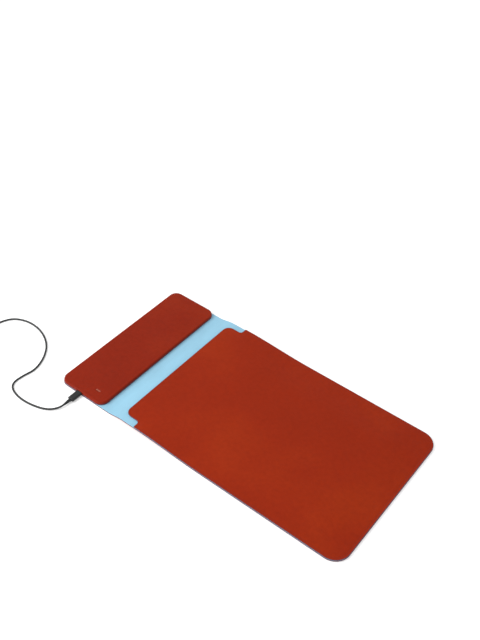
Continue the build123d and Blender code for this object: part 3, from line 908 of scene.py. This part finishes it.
def make_back_lining():
    """Lining over the whole hide, seen across the fold between the panel and the mouth."""
    corners = inset_corners(BACK_CORNERS, LINING_INSET)
    under = over(back_under, HIDE)
    shape = sheet_shape(corners, rolled_edge(LINING, 0), under, over(under, LINING))
    sheet = finish_mesh("sleeve_lining", shape, [lining])
    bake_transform(sheet)
    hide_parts("flap_lining", "pocket_back_lining")
    return sheet


SEAM_INSET = 3.5 * MM
SEAM_SINK = 0.28 * MM
SEAM_HALF_WIDTH = 1.2 * MM
DISC_RADIUS = 5 * MM
DISC_GAP = 0.3 * MM
DISC_EDGE = 0.1 * MM
NEARLY_ROUND = 0.999
CUT_DEPTH = 4 * MM
X_AXIS = Vector((1, 0, 0))
Y_AXIS = Vector((0, 1, 0))
Z_AXIS = Vector((0, 0, 1))


def make_front_leather():
    """Crowned front of the pocket, pressed down along its seam."""
    under = over(front_under, LINING)
    rings = rolled_edge(HIDE, 1) + [
        (SEAM_INSET - SEAM_HALF_WIDTH, 1.0, 0.0, 0),
        (SEAM_INSET, 1.0, SEAM_SINK, 0),
        (SEAM_INSET + SEAM_HALF_WIDTH, 1.0, 0.03 * MM, 0),
    ]
    shape = sheet_shape(FRONT_CORNERS, rings, under, over(under, HIDE))
    sheet = finish_mesh("pocket_front_panel", shape, [hide, hide_edge])
    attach(sheet, "pocket")
    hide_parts("pocket_front_leather")
    return sheet


def closure_places():
    """Centre of each steel disc under the pocket's front."""
    disc_nodes = nodes["closure_steel_discs"].data.vertices
    centres = []
    for side in (-1, 1):
        found = [vertex.co for vertex in disc_nodes if vertex.co.y * side > 0]
        centres.append(sum((Vector(co[:2]) for co in found), Vector((0, 0))) / len(found))
    return centres


def make_closure_discs():
    """Steel discs that the flap's magnets hold, let into the front's lining."""
    shape = bmesh.new()
    for centre in closure_places():
        corners = [
            (centre.x + DISC_RADIUS * x, centre.y + DISC_RADIUS * y, DISC_RADIUS * NEARLY_ROUND)
            for x, y in ((-1, -1), (1, -1), (1, 1), (-1, 1))
        ]
        rings = [
            (DISC_EDGE, 0.0, 0.0, 0),
            (0.0, 0.2, 0.0, 0),
            (0.0, 0.8, 0.0, 0),
            (DISC_EDGE, 1.0, 0.0, 0),
        ]
        sheet_shape(corners, rings, front_under, over(front_under, LINING), shape)
    discs = finish_mesh("closure_discs", shape, [NODE_FINISHES["closure_steel_discs"]])
    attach(discs, "pocket")
    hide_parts("closure_steel_discs")
    return discs


def make_front_lining():
    """Lining on the inside of the pocket's front."""
    corners = inset_corners(FRONT_CORNERS, LINING_INSET)
    shape = sheet_shape(corners, rolled_edge(LINING, 0), front_under, over(front_under, LINING))
    sheet = finish_mesh("pocket_front_lining_cloth", shape, [lining])
    size = 2 * DISC_RADIUS + DISC_GAP
    for centre in closure_places():
        middle = Vector((*centre, front_under(*centre)))
        cut(sheet, slot_cutter(middle, X_AXIS, Y_AXIS, Z_AXIS, size, size))
    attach(sheet, "pocket")
    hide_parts("pocket_front_lining")
    return sheet


def panel_base(x, y):
    """Height at which the charging panel's skirt meets the lining."""
    return panel_low.z


PANEL_WAVE = 0.04 * MM
PANEL_WAVE_DROP = 0.06 * MM


def panel_top(x, y):
    """Top of the charging panel: nearly flat, with a little of the leather's own unevenness."""
    waves = math.sin(x * 71) * math.cos(y * 43) + 0.6 * math.sin(x * 37 + y * 59)
    return panel_high.z - PANEL_WAVE_DROP + PANEL_WAVE * waves


# Inset in mm, share of the panel's height, material, from inside the skirt, round its foot, to the top.
PANEL_PROFILE = [
    (1.3, 0.74, 0),
    (1.3, 0.0, 0),
    (0.2, 0.0, 0),
    (0.0, 0.03, 1),
    (0.0, 0.30, 1),
    (0.06, 0.36, 1),
    (0.12, 0.42, 0),
    (0.26, 0.64, 0),
    (0.52, 0.80, 0),
    (0.95, 0.91, 0),
    (1.6, 0.965, 0),
    (2.8, 0.99, 0),
    (4.0, 0.99, 0),
    (4.8, 0.968, 0),
    (5.6, 0.976, 0),
    (7.2, 1.0, 0),
]


def cut(piece, cutter):
    """Take a cutter's volume out of a piece, and remove the cutter."""
    modifier = piece.modifiers.new("opening", "BOOLEAN")
    modifier.operation = "DIFFERENCE"
    modifier.object = cutter
    bpy.context.view_layer.update()
    evaluated = piece.evaluated_get(bpy.context.evaluated_depsgraph_get())
    data = bpy.data.meshes.new_from_object(evaluated)
    piece.modifiers.clear()
    piece.data = data
    bpy.data.objects.remove(cutter)


SLOT_SIDES = 24
PORT_GAP = 0.4 * MM


def slot_cutter(centre, across, up, along, width, height):
    """Prism with a slot-shaped section, to cut an opening."""
    shape = bmesh.new()
    radius = height / 2
    reach = width / 2 - radius
    loops = []
    for end in (-0.5, 0.5):
        loop = []
        for step in range(SLOT_SIDES):
            angle = 2 * math.pi * (step + 0.5) / SLOT_SIDES
            side = reach if math.cos(angle) > 0 else -reach
            point = across * (side + radius * math.cos(angle)) + up * (radius * math.sin(angle))
            loop.append(shape.verts.new(centre + point + along * (end * CUT_DEPTH)))
        loops.append(loop)
    for i in range(SLOT_SIDES):
        j = (i + 1) % SLOT_SIDES
        shape.faces.new((loops[0][i], loops[0][j], loops[1][j], loops[1][i]))
    shape.faces.new(loops[0])
    shape.faces.new(loops[1])
    return finish_mesh("cutter", shape, [])


def make_charging_panel():
    """Moulded leather panel over the charger, with a rolled edge, the cable's port and the light's slot."""
    rings = [(inset * MM, share, 0.0, material) for inset, share, material in PANEL_PROFILE]
    shape = sheet_shape(PANEL_CORNERS, rings, panel_base, panel_top)
    panel = finish_mesh("charging_panel", shape, [panel_hide, hide_edge])
    port_low, port_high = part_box("usb_c_port_shell")
    port = (port_low + port_high) / 2
    port.y = panel_low.y
    width = port_high.x - port_low.x + PORT_GAP
    height = port_high.z - port_low.z + PORT_GAP
    cut(panel, slot_cutter(port, X_AXIS, Z_AXIS, Y_AXIS, width, height))
    window_low, window_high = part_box("status_light_window")
    window = (window_low + window_high) / 2
    window.z = panel_high.z
    size = window_high - window_low
    cut(panel, slot_cutter(window, X_AXIS, Y_AXIS, Z_AXIS, size.x, size.y))
    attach(panel, "charger")
    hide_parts("charging_panel_leather")
    return panel


STITCH_PITCH = 3.6 * MM
STITCH_LENGTH = 2.7 * MM
THREAD_RADIUS = 0.28 * MM
SEAM_SLACK = 0.1 * MM
LONGEST_STEP = 20 * MM


def seam_places():
    """Middle and direction of each stitch of the U-shaped seam, from one side of the mouth to the other."""
    seam_start = X_SEAM_END + SEAM_INSET + SEAM_SLACK
    line = [point for point in ring(FRONT_CORNERS, SEAM_INSET) if point.x > seam_start]
    # The seam starts at the mouth on the -Y side.
    start = min(range(len(line)), key=lambda index: line[index].x + (0 if line[index].y < 0 else 1))
    line = line[start:] + line[:start]
    places = []
    travelled = 0.0
    wanted = STITCH_PITCH
    for one, two in zip(line, line[1:]):
        length = (two - one).length
        if length < WELD or length > LONGEST_STEP:
            continue
        while wanted <= travelled + length:
            places.append((one.lerp(two, (wanted - travelled) / length), (two - one).normalized()))
            wanted += STITCH_PITCH
        travelled += length
    return places


def make_stitches():
    """Thread of the pocket's seam, seen on the front and on the outer hide."""
    thread = speckled("thread", linear(134, 38, 22), linear(104, 26, 16), 0.6, 0.8, 2600.0, 0.00005)
    front = over(front_under, LINING, HIDE)
    shape = bmesh.new()
    for middle, along in seam_places():
        for surface, offset in ((front, -SEAM_SINK), (back_under, 0.0)):
            add_stitch(shape, middle, along, surface, offset)
    stitches = finish_mesh("pocket_seam_stitches", shape, [thread])
    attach(stitches, "pocket")
    return stitches


# Place along the stitch, and share of the thread's full radius there.
STITCH_SECTIONS = ((-0.5, 0.25), (-0.42, 0.8), (-0.2, 1.0), (0.2, 1.0), (0.42, 0.8), (0.5, 0.25))
THREAD_SIDES = 6


def add_stitch(shape, middle, along, surface, offset):
    """One plump stitch, its two ends sunk into the leather."""
    across = Vector((-along.y, along.x, 0))
    loops = []
    for share, fullness in STITCH_SECTIONS:
        x = middle.x + along.x * share * STITCH_LENGTH
        y = middle.y + along.y * share * STITCH_LENGTH
        centre = Vector((x, y, surface(x, y) + offset))
        loop = []
        for side in range(THREAD_SIDES):
            angle = 2 * math.pi * side / THREAD_SIDES
            out = across * (math.cos(angle) * THREAD_RADIUS * fullness)
            up = Vector((0, 0, math.sin(angle) * THREAD_RADIUS * fullness))
            loop.append(shape.verts.new(centre + out + up))
        loops.append(loop)
    for one, two in zip(loops, loops[1:]):
        for i in range(THREAD_SIDES):
            j = (i + 1) % THREAD_SIDES
            shape.faces.new((one[i], one[j], two[j], two[i]))
    shape.faces.new(loops[0][::-1])
    shape.faces.new(loops[-1])


outer_leather = make_outer_leather()
back_lining = make_back_lining()
make_board()
front_leather = make_front_leather()
front_lining = make_front_lining()
make_closure_discs()
make_charging_panel()
make_stitches()

# ------------------------------------------------------------------ floor and light

FLOOR_HALF = 6.0
FLOOR_Z = -0.2 * MM
WORLD_STRENGTH = 0.69


def make_floor():
    """Plain white table."""
    finish = Finish("table", Specular_IOR_Level=0.0, Roughness=0.9, Emission_Strength=0.3)
    finish.shader.inputs["Emission Color"].default_value = (1, 1, 1, 1)
    finish.colour(finish.ramp(finish.noise(3.0), (0.3, (0.86, 0.86, 0.86, 1)), (0.7, (0.88, 0.88, 0.88, 1))))
    shape = bmesh.new()
    corners = [(-1, -1), (1, -1), (1, 1), (-1, 1)]
    shape.faces.new([shape.verts.new((x * FLOOR_HALF, y * FLOOR_HALF, FLOOR_Z)) for x, y in corners])
    floor = finish_mesh("table", shape, [finish.material])


def make_light(name, kind, place, target, energy, size):
    """Soft light that looks at a target."""
    data = bpy.data.lights.new(name, kind)
    data.energy = energy
    if kind == "SUN":
        data.angle = size
    else:
        data.shape = "DISK"
        data.size = size
    light = bpy.data.objects.new(name, data)
    bpy.context.scene.collection.objects.link(light)
    light.location = place
    light.rotation_mode = "QUATERNION"
    light.rotation_quaternion = (Vector(target) - Vector(place)).to_track_quat("-Z", "Y")


def make_world():
    """Even white studio."""
    world = bpy.data.worlds.new("studio")
    world.use_nodes = True
    background = world.node_tree.nodes["Background"]
    background.inputs["Color"].default_value = (1, 1, 1, 1)
    tree = world.node_tree
    seen = tree.nodes.new("ShaderNodeBackground")
    mixed = tree.nodes.new("ShaderNodeMixShader")
    tree.links.new(tree.nodes.new("ShaderNodeLightPath").outputs["Is Camera Ray"], mixed.inputs[0])
    tree.links.new(background.outputs[0], mixed.inputs[1])
    tree.links.new(seen.outputs[0], mixed.inputs[2])
    tree.links.new(mixed.outputs[0], tree.nodes["World Output"].inputs["Surface"])
    seen.inputs["Color"].default_value = (1, 1, 1, 1)
    background.inputs["Strength"].default_value = WORLD_STRENGTH
    bpy.context.scene.world = world


make_floor()
make_light("sky_panel", "SUN", (-0.7, -0.35, 1.6), (0, 0, 0), 0.45, math.radians(70))
make_light("key_panel", "AREA", (-0.75, -0.75, 0.78), (-0.1, 0, 0), 10.5, 0.9)
make_world()
bpy.context.scene.view_settings.view_transform = "Standard"
